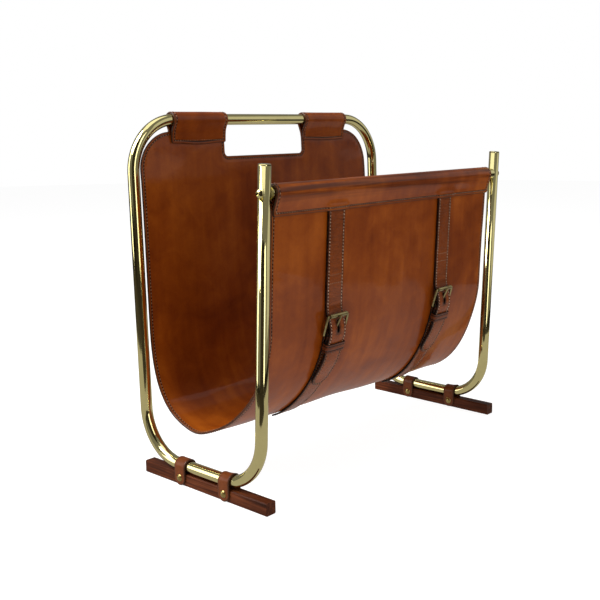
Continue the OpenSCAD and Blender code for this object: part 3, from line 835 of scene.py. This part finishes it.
# ---- straps: s runs down the hanging line from its front seam, d is the height off it ----
hang_yz = hang_line(19)  # the CAD's own number of steps, on which the buckles were placed
hang_s = lengths(hang_yz)
padded = np.concatenate([hang_yz[:1], hang_yz, hang_yz[-1:]])
head = unit(padded[2:] - padded[:-2])
out_n = np.stack([head[:, 1], -head[:, 0]], 1)


def outward(s):
    return np.stack([np.interp(s, hang_s, out_n[:, 0]), np.interp(s, hang_s, out_n[:, 1])], -1)


def on_hang(s, d):
    here = np.stack([np.interp(s, hang_s, hang_yz[:, 0]), np.interp(s, hang_s, hang_yz[:, 1])], -1)
    return here + np.asarray(d)[..., None] * outward(s)


def height_at(s, knots):
    """A height that eases from knot to knot."""
    s = np.asarray(s, float)
    out = np.full(s.shape, float(knots[0][1]))
    for (a, da), (b, db) in zip(knots, knots[1:]):
        f = np.clip((s - a) / (b - a), 0, 1)
        out = np.where(s >= a, da + (db - da) * (1 - np.cos(math.pi * f)) / 2, out)
    return out


HALF_STRAP = STRAP_W / 2
strap_skin = SKIN + GAP
heel_s = 131.5
roller_s = heel_s - BUCKLE_LEN
fold_r = WIRE / 2 + 0.2
heel_d = strap_skin + CHAPE_T + fold_r
keeper_s = heel_s + 13
fold_end_s = heel_s + 20
tip_s = heel_s + 63
chape_end_s = heel_s + 135
over_fold_d = heel_d + fold_r + CHAPE_T + GAP + BILLET_T / 2
keeper_back_d = strap_skin + CHAPE_T + GAP
fold_top_d = keeper_back_d + KEEPER_T + GAP + CHAPE_T
over_keeper_d = fold_top_d + GAP + BILLET_T / 2
over_chape_d = keeper_back_d + BILLET_T / 2
flat_d = strap_skin + BILLET_T / 2
billet_knots = [(-2.5, flat_d - 0.1), (4.5, flat_d), (roller_s - 10, flat_d),
                (heel_s - 1.5, over_fold_d + 0.1), (heel_s + 2, over_fold_d + 0.1),
                (keeper_s - 4, over_keeper_d), (fold_end_s + 1, over_keeper_d),
                (tip_s - 6, over_chape_d), (tip_s, over_chape_d)]
fold_knots = [(heel_s, heel_d + fold_r + CHAPE_T / 2), (heel_s + 7, fold_top_d - CHAPE_T / 2),
              (fold_end_s, fold_top_d - CHAPE_T / 2)]
billet_s = np.arange(billet_knots[0][0], tip_s + 0.01, 1.0)
billet_yz = relax(on_hang(billet_s, height_at(billet_s, billet_knots)), 1.5)
billet_v_of = flat_ribbon(billet_yz).s


def billet_v(s):
    return float(np.interp(s, billet_s, billet_v_of))


def follow(s, x):
    """How far the sling's belly moves a strap that lies on it, s down from the front seam."""
    return belly(v_seam + np.asarray(s, float)) * belly_twist(x)


# the lower strap: up the sling, round the heel bar, and back down over itself
lower_s = np.arange(chape_end_s, heel_s, -1.5)
lower = on_hang(lower_s, np.full(len(lower_s), strap_skin + CHAPE_T / 2))
heel_out = outward(heel_s)
heel_up = np.array([heel_out[1], -heel_out[0]])
phi = np.radians(np.linspace(0, 180, 30))[:, None]
round_heel = (on_hang(heel_s, heel_d)
              + (fold_r + CHAPE_T / 2) * (-np.cos(phi) * heel_out + np.sin(phi) * heel_up))
fold_s = np.arange(heel_s + 1.0, fold_end_s + 0.01, 1.0)
chape_yz = np.concatenate([lower, round_heel, on_hang(fold_s, height_at(fold_s, fold_knots))])
chape_v_of = flat_ribbon(chape_yz).s
v_fold0 = chape_v_of[len(lower)]
v_fold1 = chape_v_of[len(lower) + len(phi) - 1]


def stadium(v0, v1, w):
    """A slot along the middle of a strap, clockwise, as a hole is."""
    r = w / 2
    pts = [(r * math.cos(a), v1 - r + r * math.sin(a)) for a in np.linspace(0, math.pi, 13)]
    pts += [(r * math.cos(a), v0 + r + r * math.sin(a)) for a in np.linspace(math.pi, 2 * math.pi, 13)]
    return pts[::-1]


def round_tip(r, v):
    """The points between the two ends of a half circle, with its middle at v."""
    return [(r * math.cos(a), v + r * math.sin(a)) for a in np.linspace(0, math.pi, 33)[1:-1]]


def upper_strap(side, x):
    """The strap with the round tip, its slot for the prong, and its light and dark thread."""
    ribbon = flat_ribbon(billet_yz, x)
    hw, half = HALF_STRAP, BILLET_T / 2
    v_tip = ribbon.s[-1] - hw
    outline = [(-hw + 0.8, 0), (hw - 0.8, 0), (hw, 0.8), (hw, v_tip)] + round_tip(hw, v_tip)
    outline += [(-hw, v_tip), (-hw, 0.8)]
    slot = stadium(billet_v(heel_s - 14.0), billet_v(heel_s - 2.8), 2.9)

    def lift(u, v):
        return follow(np.interp(v, ribbon.s, billet_s), x)

    def lift_crowned(u, v):
        return CROWN * (1 - (np.abs(u) / hw) ** 2) + lift(u, v)

    piece = leather(f"strap_tip_{side}", [outline, slot], ribbon, half, STRAP, du=3.0,
                    dv=2.2, edge_step=1.2, crown=CROWN, bevel=0.6, groove=STRAP_SEAM, lift=lift)
    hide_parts(f"billet_strap_{side}")
    light, dark = Stitching(2.1, 0.52), Stitching(1.9, 0.45)
    w = hw - STRAP_SEAM
    v_keeper = billet_v(keeper_s)
    for u in (-w, w):
        light.row(ribbon, [(u, 3.0), (u, v_keeper)], half, 3.4, lift_crowned, 0.22)
    loop = [(w, v_keeper + 2), (w, v_tip)] + round_tip(w, v_tip) + [(-w, v_tip), (-w, v_keeper + 2)]
    dark.row(ribbon, loop, half, 3.5, lift_crowned, 0.2)
    for z in (226.0, 217.0):
        v = float(np.interp(-z, -ribbon.p[:, 2], ribbon.s))
        dark.row(ribbon, [(-w + 1.5, v), (w - 1.5, v)], half, 3.0, lift_crowned, 0.1)
    light.build(f"strap_stitching_{side}", THREAD_LIGHT, "strap_leather")
    dark.build(f"strap_tip_stitching_{side}", THREAD_DARK, "strap_leather")


def lower_strap(side, x):
    """The strap that is folded round the heel bar, with a slot there for the prong."""
    ribbon = flat_ribbon(chape_yz, x)
    hw, half = HALF_STRAP, CHAPE_T / 2
    end = ribbon.s[-1]
    outline = [(-hw + 1.5, 0), (hw - 1.5, 0), (hw, 1.5), (hw, end - 1), (hw - 1, end), (-hw + 1, end),
               (-hw, end - 1), (-hw, 1.5)]
    rows = np.concatenate([np.arange(2, v_fold0 - 0.5, 3.0), np.linspace(v_fold0, v_fold1, 12),
                           np.arange(v_fold1 + 2, end - 1, 2.5)])

    def lift(u, v):
        return -follow(chape_end_s - v, x)

    slot = stadium(v_fold0 - 4.5, v_fold1 + 4.5, 5.2)
    piece = leather(f"strap_buckle_{side}", [outline, slot], ribbon, half, STRAP, du=3.0,
                    v_rows=rows, edge_step=1.2, groove=STRAP_SEAM, lift=lift)
    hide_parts(f"buckle_strap_{side}")
    thread = Stitching(1.9, 0.42)
    for u in (-hw + STRAP_SEAM, hw - STRAP_SEAM):
        thread.row(ribbon, [(u, 4.0), (u, v_fold0 - 16)], -half, 3.4, lift, 0.2, side=-1)
    thread.build(f"strap_low_stitching_{side}", THREAD_DARK, "strap_leather")


def keeper_section():
    """The keeper's cut across its width, as (along, off the band's middle, edge, groove)."""
    hw, ht, q = KEEPER_W / 2, KEEPER_T / 2, 0.45
    crease = ht - 0.2
    right = [(hw - 3.1, ht, 0, 0), (hw - 2.7, crease, 0, 1), (hw - 1.8, crease, 0, 1), (hw - 1.4, ht, 0, 0),
             (hw - q, ht, 0.5, 0), (hw - 0.1, ht - 0.15, 1, 0), (hw, ht - q, 1, 0), (hw, q - ht, 1, 0),
             (hw - q, -ht, 0.6, 0)]
    left = [(-along, height, edge_wear_and_shade, deep) for along, height, edge_wear_and_shade, deep in right[::-1]]
    return [(0, ht + 0.05, 0, 0)] + right + [(0, -ht, 0, 0)] + left


def keeper_band(side, x):
    """A closed leather band round the stacked straps."""
    at = on_hang(keeper_s, keeper_back_d)
    out = outward(keeper_s)
    w = HALF_STRAP + 0.2 + KEEPER_T / 2
    low = KEEPER_T / 2
    high = over_keeper_d + BILLET_T / 2 + GAP + KEEPER_T - keeper_back_d - KEEPER_T / 2
    r = 1.5
    path = []
    centres = ((w - r, high - r), (r - w, high - r), (r - w, low + r), (w - r, low + r))
    for quarter, (cx, cz) in enumerate(centres):
        turn = np.radians(np.linspace(90 * quarter, 90 * quarter + 90, 9))
        path += [(cx + r * math.cos(a), cz + r * math.sin(a)) for a in turn]
    path = close_resample(path, 1.2)
    outer = path[:, 1] > (low + high) / 2
    path[:, 1] += CROWN * (1 - np.clip(np.abs(path[:, 0]) / w, 0, 1) ** 2) * outer
    t = unit(np.roll(path, -1, 0) - np.roll(path, 1, 0))
    away = np.stack([t[:, 1], -t[:, 0]], 1)
    round_s = lengths(path)
    down3, out3 = np.array([0, out[1], -out[0]]), np.array([0, out[0], out[1]])
    origin = np.array([x, at[0], at[1]])
    n = len(path)
    verts, uv, edge, groove = [], [], [], []
    for along, height, edge_wear_and_shade, deep in keeper_section():
        p = path + away * height
        verts.append(origin + p[:, :1] * [1, 0, 0] + p[:, 1:] * out3 + along * down3)
        uv.append(np.stack([np.full(n, along + 40), round_s], 1))
        edge.append(np.full(n, edge_wear_and_shade))
        groove.append(np.full(n, deep))
    m = len(verts)
    faces = [(j * n + i, j * n + (i + 1) % n, ((j + 1) % m) * n + (i + 1) % n, ((j + 1) % m) * n + i)
             for j in range(m) for i in range(n)]
    marks = {"edge": np.concatenate(edge), "groove": np.concatenate(groove)}
    piece = new_object(f"keeper_band_{side}", np.concatenate(verts), faces, STRAP, marks,
                       np.concatenate(uv))
    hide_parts(f"keeper_{side}")


for side, x in zip(SIDES, STRAP_X):
    upper_strap(side, x)
    lower_strap(side, x)
    keeper_band(side, x)

# ---- foot loops ----
run_start = BASE_Y0 + LOW_R * math.tan((math.pi / 2 - FRONT_LEAN) / 2)  # the front bend's low end


def rise_with_tube(v):
    """Points of a loop lifted as much as the tube has risen there, but not by the rivet."""
    over = np.clip(run_start - v[:, 1], 0, LOW_R * 0.9)
    rise = LOW_R - np.sqrt(LOW_R ** 2 - over ** 2)
    v = v.copy()
    v[:, 2] += rise * smooth(RIVET_Z + 5, BASE_Z, v[:, 2])
    return v


def foot_loop(name, x, y):
    """A leather band over the tube, its two round ends hanging down beside the foot."""
    r = TUBE_R + 0.25 + LOOP_T / 2
    bottom = RIVET_Z - LOOP_W / 2
    over = [(r * math.cos(a), BASE_Z + r * math.sin(a)) for a in np.linspace(math.pi, 0, 40)]
    path = resample(np.array([(-r, bottom), (-r, BASE_Z)] + over[1:] + [(r, bottom)]), 1.0)
    # the width runs along y, so that the ribbon's normal points away from the tube
    band = Ribbon(np.column_stack([path[:, 0] + x, np.full(len(path), y), path[:, 1]]), (0, 1, 0))
    length = band.s[-1]
    q = LOOP_W / 2
    outline = [(q * math.cos(a), q + q * math.sin(a)) for a in np.linspace(-math.pi, 0, 25)]
    outline += [(q * math.cos(a), length - q + q * math.sin(a)) for a in np.linspace(0, math.pi, 25)]
    return leather(name, [outline], band, LOOP_T / 2, LOOP, du=2.5, dv=1.6, edge_step=1.1,
                   warp=rise_with_tube)


for side, sx in zip(SIDES, (-1, 1)):
    for end, sy in (("front", -1), ("back", 1)):
        piece = foot_loop(f"tube_loop_{side}_{end}", sx * half_w, FOOT_MID_Y + sy * LOOP_OFFSET)
        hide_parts(f"foot_loop_{side}_{end}")


# ---- floor, light, camera (m) ----
def circle(r, sides, z=0.0):
    angles = [2 * math.pi * k / sides for k in range(sides)]
    return [(r * math.cos(a), r * math.sin(a), z) for a in angles]


def stage_material(name, base, strength=0.0, glow=(1, 1, 1), rough=1.0, shine=0.0):
    n = Nodes(name)
    n.set(Base_Color=(*base, 1), Roughness=rough, Specular_IOR_Level=shine)
    n.set(Emission_Color=(*glow, 1), Emission_Strength=strength)
    return n.mat


def stage_mesh(name, points, faces, material, seen_by):
    """A part of the studio, which only the named kinds of ray meet."""
    mesh = bpy.data.meshes.new(name)
    mesh.from_pydata(points, [], faces)
    mesh.materials.append(material)
    obj = bpy.data.objects.new(name, mesh)
    bpy.context.scene.collection.objects.link(obj)
    for ray in ("camera", "diffuse", "glossy", "transmission", "shadow"):
        setattr(obj, f"visible_{ray}", ray in seen_by)


def floor():
    """A pale, even studio floor; it glows a little so that it stays as pale as the backdrop."""
    pale = stage_material("studio_floor", (0.30, 0.30, 0.30), 0.90, rough=0.9, shine=0.1)
    sides = 96
    stage_mesh("studio_floor", circle(5.0, sides), [tuple(range(sides))], pale,
               ("camera", "diffuse", "transmission", "shadow"))


def backdrop():
    """A pale surround that only the camera sees, so that the wall and floor run together."""
    white = stage_material("backdrop", (0, 0, 0), 1.0)
    sides, rings, r = 48, 12, 5.9
    points = []
    for i in range(rings + 1):
        a = math.radians(-12 + 102 * i / rings)
        points += circle(r * math.cos(a), sides, r * math.sin(a))
    stage_mesh("backdrop", points, hoops(rings + 1, sides), white, ("camera",))


def reflected_room():
    """The room as the brass shows it: a dark card behind the camera, the near floor a little dimmer
    than the real one, and the far floor in the dark."""
    dark = stage_material("dark_flag", (0.035, 0.03, 0.025))
    towards, across = Vector((-0.770, -0.638, 0)), Vector((0.638, -0.770, 0))
    near, far, top = 0.50, 1.7, 2.4
    spread = math.tan(math.radians(27))
    points = []
    for away, z in ((near, 0.001), (far, 0.001), (far, top)):
        points += [towards * away + across * away * spread * k + Vector((0, 0, z)) for k in (-1, 1)]
    stage_mesh("dark_flag", points, [(0, 1, 3, 2), (2, 3, 5, 4)], dark, ("glossy",))
    glow = stage_material("floor_glow", (0, 0, 0), 0.52, (1.0, 0.97, 0.93))
    sides = 64
    stage_mesh("floor_glow", circle(0.86, sides, 0.0002), [tuple(range(sides))], glow, ("glossy",))
    far_ring = circle(0.85, sides, 0.002) + circle(5.5, sides, 0.002)
    stage_mesh("dark_far_floor", far_ring, hoops(2, sides), dark, ("glossy",))


def world():
    w = bpy.data.worlds.new("studio")
    bpy.context.scene.world = w
    w.use_nodes = True
    background = w.node_tree.nodes["Background"]
    background.inputs["Color"].default_value = (1.0, 1.0, 1.0, 1)
    background.inputs["Strength"].default_value = 0.24


def camera():
    """The view of the picture: from the front left, 50 degrees round and 8 degrees above level."""
    yaw, pitch, roll = 0.8776, 0.1445, -0.0058
    forward = Vector((math.sin(yaw) * math.cos(pitch), math.cos(yaw) * math.cos(pitch), -math.sin(pitch)))
    level_right = forward.cross(Vector((0, 0, 1))).normalized()
    level_up = level_right.cross(forward)
    right = level_right * math.cos(roll) + level_up * math.sin(roll)
    up = level_up * math.cos(roll) - level_right * math.sin(roll)
    data = bpy.data.cameras.new("camera")
    data.sensor_width = 36.0
    data.lens = 54.97
    data.shift_x, data.shift_y = -0.100, -0.075
    data.clip_start, data.clip_end = 0.01, 100.0
    obj = bpy.data.objects.new("camera", data)
    m = Matrix((right, up, -forward)).transposed().to_4x4()
    m.translation = Vector((-0.80023, -0.71195, 0.38102))
    obj.matrix_world = m
    bpy.context.scene.collection.objects.link(obj)
    bpy.context.scene.camera = obj


def softbox(name, where, target, size, radiance):
    """A rectangular light of a given brightness, so that reflections of it are that bright."""
    light = bpy.data.lights.new(name, "AREA")
    light.shape = "RECTANGLE"
    light.size, light.size_y = size
    light.energy = radiance * math.pi * size[0] * size[1]
    obj = bpy.data.objects.new(name, light)
    obj.location = where
    obj.rotation_mode = "QUATERNION"
    obj.rotation_quaternion = (Vector(target) - Vector(where)).to_track_quat("-Z", "Y")
    bpy.context.scene.collection.objects.link(obj)


floor()
backdrop()
reflected_room()
world()
camera()
softbox("left_box", (-1.15, 0.98, 0.85), (0, 0, 0.35), (0.60, 1.7), 3.0)
softbox("front_box", (-0.48, -1.50, 0.85), (0, 0, 0.35), (0.50, 1.7), 2.6)
softbox("right_front_box", (1.45, -1.15, 1.15), (0, 0, 0.3), (2.2, 1.5), 0.45)
softbox("key_box", (-1.0, 0.45, 1.35), (-0.1, 0, 0.1), (0.9, 0.9), 12.0)
softbox("top_box", (-0.2, 0.3, 2.2), (0, 0, 0.0), (1.6, 1.6), 1.3)
bpy.context.scene.view_settings.view_transform = "Standard"
